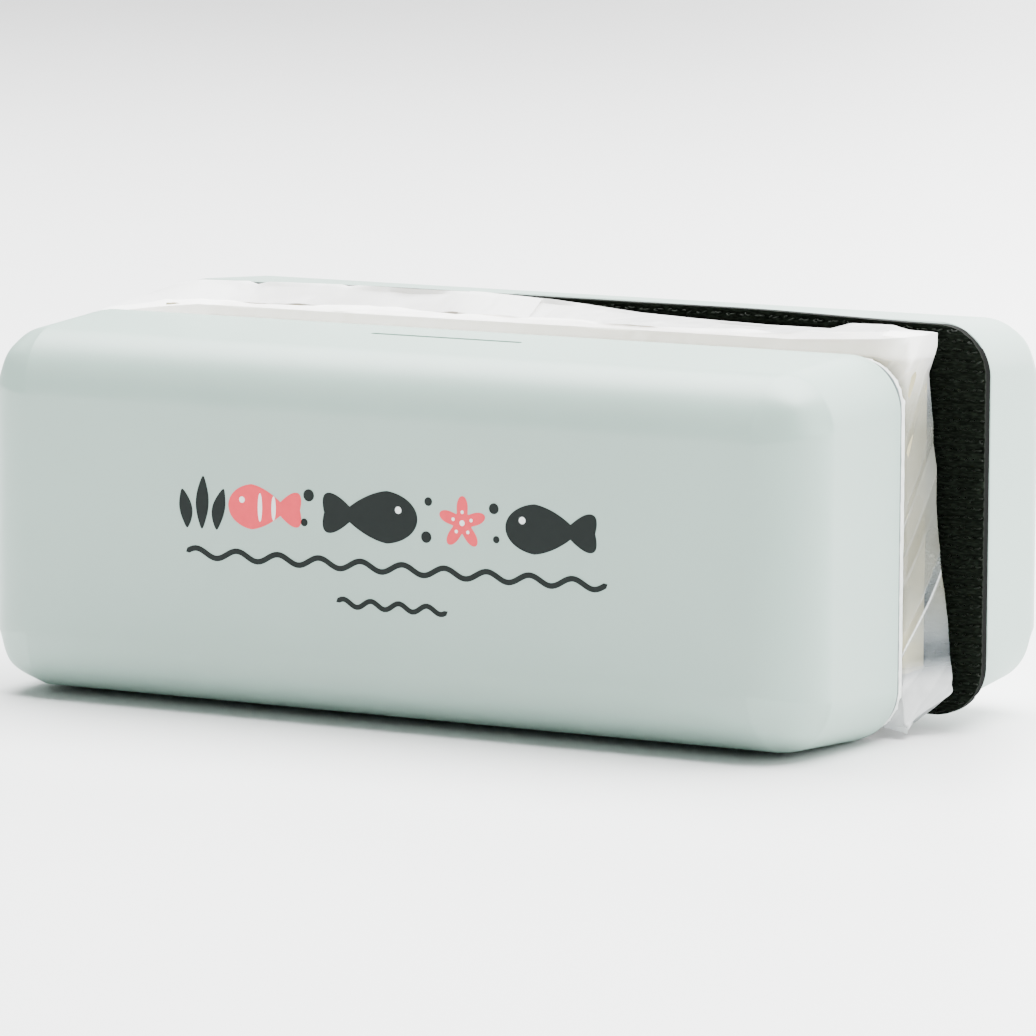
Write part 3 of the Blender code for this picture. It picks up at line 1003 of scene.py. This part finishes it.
class Route:
    """A line seen from above, with round corners, that places are read from by distance."""

    def __init__(self, corners, radius):
        corners = [np.array(c) for c in corners]
        line = [corners[0]]
        for a, b, c in zip(corners, corners[1:], corners[2:]):
            start = b + (a - b) * min(0.5, radius / np.linalg.norm(a - b))
            end = b + (c - b) * min(0.5, radius / np.linalg.norm(c - b))
            for k in range(9):
                t = k / 8
                line.append(start * (1 - t) ** 2 + b * 2 * t * (1 - t) + end * t * t)
        line.append(corners[-1])
        steps = np.diff(np.array(line), axis=0)
        self.far = np.concatenate([[0], np.cumsum(np.linalg.norm(steps, axis=1))])
        self.line = np.array(line)
        self.length = self.far[-1]

    def at(self, far):
        """The places and the outward directions at these distances."""
        x, y = (np.interp(far, self.far, self.line[:, k]) for k in (0, 1))
        near = 0.2 * MM
        ahead, behind = np.clip(far + near, 0, self.length), np.clip(far - near, 0, self.length)
        run = [np.interp(ahead, self.far, self.line[:, k]) - np.interp(behind, self.far, self.line[:, k])
               for k in (0, 1)]
        size = np.maximum(np.hypot(*run), 1e-9)
        return x, y, run[1] / size, -run[0] / size

    def reading(self, x, y):
        """The distance of the corner nearest to a place."""
        return self.far[np.argmin(np.hypot(self.line[:, 0] - x, self.line[:, 1] - y))]


def sheet_grid(name, across, up):
    """A flat sheet of faces, and each point's share of the way across and up it."""
    deselect()
    bpy.ops.mesh.primitive_grid_add(x_subdivisions=across, y_subdivisions=up, size=1.0)
    sheet = bpy.context.object
    sheet.name = sheet.data.name = name
    co = np.empty(len(sheet.data.vertices) * 3)
    sheet.data.vertices.foreach_get("co", co)
    co = co.reshape(-1, 3)
    return sheet, co[:, 0] + 0.5, co[:, 1] + 0.5


def set_points(piece, points):
    piece.data.vertices.foreach_set("co", np.asarray(points).ravel())
    piece.data.update()


class CLEANER_OT_card(bpy.types.Operator):
    """Makes the outer liner of the folded card board"""

    bl_idname = "cleaner.card"
    bl_label = "Make card liner"

    def execute(self, context):
        s = settings("spacer")
        low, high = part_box("card_outer_liner")
        inset = 0.2 * MM
        y0, y1, end = low.y + inset, high.y - inset, high.x - inset
        route = Route(((low.x, y0), (end, y0), (end, y1), (low.x, y1)), 1.0 * MM)
        liner, across, up = sheet_grid("card_liner", 520, 24)
        far = across * route.length
        x, y, nx, ny = route.at(far)
        z = low.z + up * (high.z - low.z)
        wave = s.washboard * (np.cos(2 * math.pi * far / (6.6 * MM)) - 1.0)
        wave += 0.10 * MM * np.array([min(0.0, fuzz((a, b, 0.0), 60.0, 2.0)) for a, b in zip(far, z)])
        set_points(liner, np.stack([x + nx * wave, y + ny * wave, z], axis=1))
        apply_modifier(liner, "SOLIDIFY", "paper", thickness=0.4 * MM, offset=0.0)
        smooth_shading(liner, 40.0, weighted=False)
        dress(liner, kraft_look("kraft liner", (0.42, 0.385, 0.24)), "spacer", "card_liner",
              "card_outer_liner")
        return {"FINISHED"}


def rise(value, start, width):
    """0 up to the start, 1 a width past it; start and width are in millimetres."""
    return np.clip((value - start * MM) / (width * MM), 0, 1)


def fall(value, start, width):
    """1 a width before the start, 0 from the start on; start and width are in millimetres."""
    return np.clip((start * MM - value) / (width * MM), 0, 1)


class CLEANER_OT_film(bpy.types.Operator):
    """Makes the crumpled clear film round the card"""

    bl_idname = "cleaner.film"
    bl_label = "Make film wrap"

    TALL, HEM = 56.0 * MM, 4.9 * MM
    # How far right the loose end stands at each height, in millimetres: its back edge, which
    # flares out low down, and its front edge
    BACK_END = ((0.0, 64.2), (2.3, 64.9), (6.1, 67.6), (9.1, 66.8), (12.4, 66.4), (19.0, 65.6),
                (27.0, 64.3), (34.0, 63.9), (40.5, 63.4), (45.5, 62.9), (49.8, 62.5), (53.6, 63.6),
                (57.0, 63.7))
    FRONT_END = ((0.0, 64.2), (2.5, 63.6), (8.0, 62.9), (14.0, 62.6), (50.0, 62.6), (57.0, 63.2))
    # Heights of the top edge along the length, behind and in front, of the crease between the
    # two hems, and of the bottom edge in front
    BACK_TOP = ((-69.6, 52.3), (-58.5, 56.1), (-54.7, 56.8), (-46.5, 57.0), (-45.0, 56.6),
                (-43.0, 57.1), (-31.0, 57.3), (-30.0, 57.1), (-28.0, 57.35), (-8.0, 57.35),
                (3.7, 56.9), (17.4, 55.75), (26.8, 55.35), (37.7, 55.1), (47.0, 55.1),
                (50.0, 56.0), (56.5, 56.05), (59.0, 55.45), (67.0, 55.3))
    FRONT_TOP = ((-69.6, 51.6), (-57.0, 53.4), (-50.0, 54.15), (45.0, 54.3), (58.0, 55.0),
                 (67.0, 56.0))
    CREASE = ((-69.6, 52.0), (-56.0, 54.2), (-30.0, 54.5), (40.0, 54.6), (56.0, 55.2), (67.0, 56.0))
    FOOT = ((-70.0, 0.4), (50.0, 0.6), (57.0, 1.7), (60.0, 1.4), (62.6, 0.5), (64.2, 0.1))

    def execute(self, context):
        low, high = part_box("film_wrap")
        y0, y1 = low.y + 0.16 * MM, high.y - 0.16 * MM
        x0, end = low.x + 0.3 * MM, 62.6 * MM
        seam = -4.0 * MM
        route = Route(((seam + 6 * MM, y1 - 0.25 * MM), (x0, y1 - 0.12 * MM), (x0, y0), (end, y0),
                       (end, y1), (seam - 6 * MM, y1)), 0.9 * MM)
        film, across, up = sheet_grid("film_sheet", 580, 158)
        far = self.spread(route, across)
        turn = route.reading(end, y0)
        points, outward, rear, right = self.place(route, far, up, y0, y1, end)
        relief, masks = self.crumple(points, far, up, turn, rear, right, (581, 159))
        points += outward * relief[:, None]
        points[:, 1] = np.clip(points[:, 1], low.y + 0.03 * MM, high.y - 0.03 * MM)
        points[:, 2] = np.maximum(points[:, 2], 0.05 * MM)
        set_points(film, points)
        for name, values in masks.items():
            film.data.attributes.new(name, "FLOAT", "POINT").data.foreach_set("value", values)
        face_outward(film)
        smooth_shading(film, 24.0, weighted=False)
        dress(film, film_look(), "spacer", "clear_film", "film_wrap")
        return {"FINISHED"}

    def spread(self, route, across):
        """Where the sheet's columns go: closer together round the right end than elsewhere."""
        fine = np.linspace(0, route.length, 4000)
        x = np.interp(fine, route.far, route.line[:, 0])
        weight = np.concatenate([[0], np.cumsum(np.where(x[1:] > 55 * MM, 2.4, 1.0))])
        return np.interp(across, weight / weight[-1], fine)

    def along(self, table, at):
        return np.interp(at / MM, [p[0] for p in table], [p[1] for p in table]) * MM

    def place(self, route, far, up, y0, y1, end):
        """Stands the sheet on its route, with its hems turned in over and under the card."""
        x, y, nx, ny = route.at(far)
        rear = np.clip((y - y0) / (y1 - y0), 0, 1)
        right = np.clip((x - (end - 5 * MM)) / (5 * MM), 0, 1)
        sheet = up * (self.TALL + 2 * self.HEM) - self.HEM
        top = self.along(self.FRONT_TOP, x) * (1 - rear) + self.along(self.BACK_TOP, x) * rear
        foot = self.along(self.FOOT, x) * (1 - rear) + (0.3 + 5.8 * right ** 3) * MM * rear
        z = foot + np.clip(sheet / self.TALL, 0, 1) * (top - foot)
        over, under = np.clip(sheet - self.TALL, 0, None), np.clip(-sheet, 0, None)
        lap = self.along(self.CREASE, x) - top + 0.10 * MM - 0.20 * MM * rear
        z = z + lap * over / self.HEM + under * 0.08
        inward = over * np.interp(x / MM, (-50, -42, -12, -4), (0.99, 0.72, 0.72, 0.99)) + under * 0.85
        reach = self.along(self.BACK_END, z) * rear + self.along(self.FRONT_END, z) * (1 - rear)
        x = x + (reach - end) * right ** 2
        points = np.stack([x - nx * inward, y - ny * inward, z], axis=1)
        outward = np.stack([nx, ny, np.zeros_like(nx)], axis=1)
        hem = np.clip((over + under) / (0.8 * MM), 0, 1)[:, None]
        outward = outward * (1 - hem) + np.array((0.0, 0.0, 1.0)) * hem * np.sign(over - under)[:, None]
        return points, outward, rear, right

    def crumple(self, points, far, up, turn, rear, right, shape):
        """How far each point stands out, how milky the film is there with its painted highlights, how
        much painted shade greys it, and its painted glow.
        """
        s = settings("spacer")
        flat = np.stack([far, up * (self.TALL + 2 * self.HEM)], axis=1)
        size = (far.max(), self.TALL + 2 * self.HEM)
        relief = 0.60 * Creases(3, size, 8.5 * MM, 0.95, 2.2).height(flat)
        relief += 0.34 * Creases(5, size, 4.2 * MM, 1.25, 2.6).height(flat)
        relief += 0.18 * Creases(8, size, 2.1 * MM, 0.5, 1.8).height(flat)
        z = points[:, 2]
        # long slanting folds where the film is drawn round the end of the card
        slant = math.radians(54)
        fold = z * math.cos(slant) - (far - turn) * math.sin(slant) + 0.2 * MM * relief
        rng = np.random.default_rng(21)
        ridges = np.cumsum(rng.uniform(1.2, 3.9, 60)) * MM - 30 * MM
        heights = rng.uniform(0.35, 1.0, 60) * np.where(np.arange(60) % 2, 1, -1)
        # painted shading: each facet between the slanting folds gets its own lightness, as if lit at its
        # own angle
        facet_shading = rng.uniform(0.0, 1.0, 61)
        draped = np.interp(fold, ridges, heights)
        drawn = right ** 2 * rise(z, 7, 5)
        relief = relief * (1 - drawn * 0.85) + draped * drawn * 0.55 * (1 - 0.75 * rear ** 3)
        loose = np.maximum(right, 0.7 * rise(z, 53, 2))
        depth = s.pressed + (s.crumple - s.pressed) * loose
        depth *= 1 + 1.5 * right * fall(z, 9, 3)
        bend = self.sharpness(relief, shape)
        # painted highlights: bright lines along some of the slanting folds
        line = np.exp(-(self.nearest(fold, ridges[::4]) / (0.15 * MM)) ** 2)
        line *= fall(z, 33, 5)
        facet = facet_shading[np.searchsorted(ridges, fold)]
        x = points[:, 0]
        # how milky the film is where it is creased, with the painted highlights of the fold lines and
        # the facets' painted shading
        veil = 0.09 + 0.26 * bend + drawn * (0.10 * facet + 0.75 * line - 0.12 * bend - 0.08)
        # the top band is milkier and lighter, partly from the doubled hems and partly as painted light
        # from above
        veil += rise(z, 51.9, 0.9) * np.interp(x / MM, (-6, 22), (0.72, 0.5))
        veil += right * 0.50 * rise(z, 45, 6)
        veil += right * (0.30 + 0.35 * facet) * fall(z, 11, 3)
        veil += 0.25 * rise(x, 63.0, 0.8) * np.clip(z / (9 * MM) - 3, 0, 1)
        # painted shade: grey-brown on facets round the card's end, as dark reflections, and darker where
        # the film flares beyond the card
        tone = drawn * np.clip(1 - veil, 0, 1) * np.clip(facet * 1.9 - 0.45, 0, 1) * (1 - line)
        beyond = drawn * rise(x, 62.0, 0.7)
        tone = np.maximum(0.12 * drawn + 0.88 * tone, 0.8 * beyond * rise(z, 20, 7))
        tone *= fall(z, 48, 6) * rise(z, 13, 8) ** 0.5
        left = fall(x, -47, 6) * rise(z, 49, 2)
        veil += 0.6 * left
        # painted light: the glow runs along the top edge, wider towards the right end and fainter at the
        # back
        fade = 0.6 * MM + 6 * MM * right
        glow = np.clip((z - 52.5 * MM + fade) / fade, 0, 1) * (1 - 0.75 * rear)
        masks = {"veil": veil, "tone": tone, "glow": glow}
        return (relief - 0.25) * depth, {name: np.clip(m, 0, 1) for name, m in masks.items()}

    def nearest(self, at, marks):
        spot = np.clip(np.searchsorted(marks, at), 1, len(marks) - 1)
        return np.minimum(np.abs(at - marks[spot]), np.abs(at - marks[spot - 1]))

    def sharpness(self, relief, shape):
        """How sharply the sheet is creased at each point, from 0 to 1."""
        grid = relief.reshape(shape[1], shape[0])
        bend = np.abs(np.gradient(np.gradient(grid, axis=1), axis=1))
        bend += np.abs(np.gradient(np.gradient(grid, axis=0), axis=0))
        return np.clip(bend / 0.16, 0, 1).ravel()


# ---------------------------------------------------------------- inner parts


class CLEANER_OT_inner_parts(bpy.types.Operator):
    """Gives the parts inside the shells and the inner plies their finishes"""

    bl_idname = "cleaner.inner_parts"
    bl_label = "Finish inner parts"

    def execute(self, context):
        looks = {
            "base_plate": satin_plastic("base plate plastic", (0.55, 0.62, 0.60), 0.46),
            "seal_ring": rubber_look(),
            "magnet_tray": satin_plastic("tray plastic", (0.085, 0.085, 0.09), 0.5),
            "magnet_": ferrite_look(),
            "yoke_plate": steel_look(),
            "foam_block": foam_look(),
            "pad_tape": tape_look(),
            "card_inner_liner": kraft_look("inner liner", (0.56, 0.44, 0.31)),
            "card_flute": kraft_look("fluting paper", (0.47, 0.36, 0.25)),
        }
        for name, node in sorted(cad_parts.items()):
            fitting = [key for key in looks if key in name]
            if fitting:
                node.data.materials.clear()
                node.data.materials.append(looks[fitting[0]])
        return {"FINISHED"}


# ---------------------------------------------------------------- stage


def add_softbox(name, place, aim, size, power, tint=(1.0, 1.0, 1.0)):
    deselect()
    bpy.ops.object.light_add(type="AREA", location=place)
    lamp = bpy.context.object
    lamp.name = name
    lamp.data.shape = "RECTANGLE"
    lamp.data.size, lamp.data.size_y = size
    lamp.data.energy = power
    lamp.data.color = tint
    lamp.rotation_euler = (Vector(aim) - Vector(place)).to_track_quat("-Z", "Y").to_euler()
    return lamp


class CLEANER_OT_stage(bpy.types.Operator):
    """Makes the floor, the softboxes and the camera"""

    bl_idname = "cleaner.stage"
    bl_label = "Make stage"

    def execute(self, context):
        s = settings("stage")
        deselect()
        bpy.ops.mesh.primitive_plane_add(size=12.0, location=(0, 2.0, 0))
        floor = settle(bpy.context.object)
        floor.name = "studio_floor"
        floor.data.materials.append(floor_look())
        add_softbox("overhead_softbox", (0.05, 0.30, 1.25), (0, 0, 0.03), (2.0, 1.2), s.key)
        add_softbox("rear_softbox", (0.5, 2.8, 1.0), (0, 0, 0.1), (4.2, 1.9), s.rear)
        add_softbox("side_softbox", (1.45, 0.25, 0.6), (0, 0, 0.03), (1.0, 0.9), s.fill)
        add_softbox("front_softbox", (-0.5, -1.5, 0.9), (0, 0, 0.02), (1.2, 0.8), s.front)
        world = bpy.data.worlds.new("studio")
        world.use_nodes = True
        background = world.node_tree.nodes["Background"]
        background.inputs["Color"].default_value = (0.97, 1.0, 1.0, 1.0)
        background.inputs["Strength"].default_value = 0.20
        bpy.context.scene.world = world
        self.make_camera(s)
        return {"FINISHED"}

    def make_camera(self, s):
        deselect()
        back = Vector((math.sin(s.azimuth) * math.cos(s.elevation),
                       -math.cos(s.azimuth) * math.cos(s.elevation), math.sin(s.elevation)))
        target = Vector((0.00018, 0.0012, 0.02593))
        level = Vector((math.cos(s.azimuth), math.sin(s.azimuth), 0.0))
        up = back.cross(level)
        right = level * math.cos(s.roll) + up * math.sin(s.roll)
        up = back.cross(right)
        turn = Matrix((right, up, back)).transposed().to_4x4()
        bpy.ops.object.camera_add()
        camera = bpy.context.object
        camera.name = "camera"
        camera.matrix_world = Matrix.Translation(target + back * s.distance) @ turn
        camera.data.sensor_width = 36.0
        camera.data.lens = s.lens
        camera.data.clip_end = 50.0
        bpy.context.scene.camera = camera


# ---------------------------------------------------------------- panel and registration

STEPS = ("shells", "print", "felt_pad", "hook_pad", "card", "film", "inner_parts", "stage")


class CLEANER_PT_panel(bpy.types.Panel):
    bl_label = "Glass Cleaner"
    bl_space_type = "VIEW_3D"
    bl_region_type = "UI"
    bl_category = "Glass Cleaner"

    def draw(self, context):
        for step in STEPS:
            self.layout.operator("cleaner." + step)
        for group in GROUPS:
            box = self.layout.box()
            box.label(text=group.title())
            for key in GROUPS[group].__annotations__:
                box.prop(settings(group), key)


GROUPS = {"shell": ShellSettings, "pad": PadSettings, "spacer": SpacerSettings,
          "stage": StageSettings}
CLASSES = (ShellSettings, PadSettings, SpacerSettings, StageSettings, CLEANER_OT_shells,
           CLEANER_OT_print, CLEANER_OT_felt_pad, CLEANER_OT_hook_pad, CLEANER_OT_card,
           CLEANER_OT_film, CLEANER_OT_inner_parts, CLEANER_OT_stage, CLEANER_PT_panel)


def register():
    for item in CLASSES:
        bpy.utils.register_class(item)
    for name, group in GROUPS.items():
        setattr(bpy.types.Scene, "glass_cleaner_" + name, bpy.props.PointerProperty(type=group))


def unregister():
    for name in GROUPS:
        delattr(bpy.types.Scene, "glass_cleaner_" + name)
    for item in reversed(CLASSES):
        bpy.utils.unregister_class(item)


def main():
    register()
    for step in STEPS:
        getattr(bpy.ops.cleaner, step)()
    deselect()


if __name__ == "__main__":
    main()
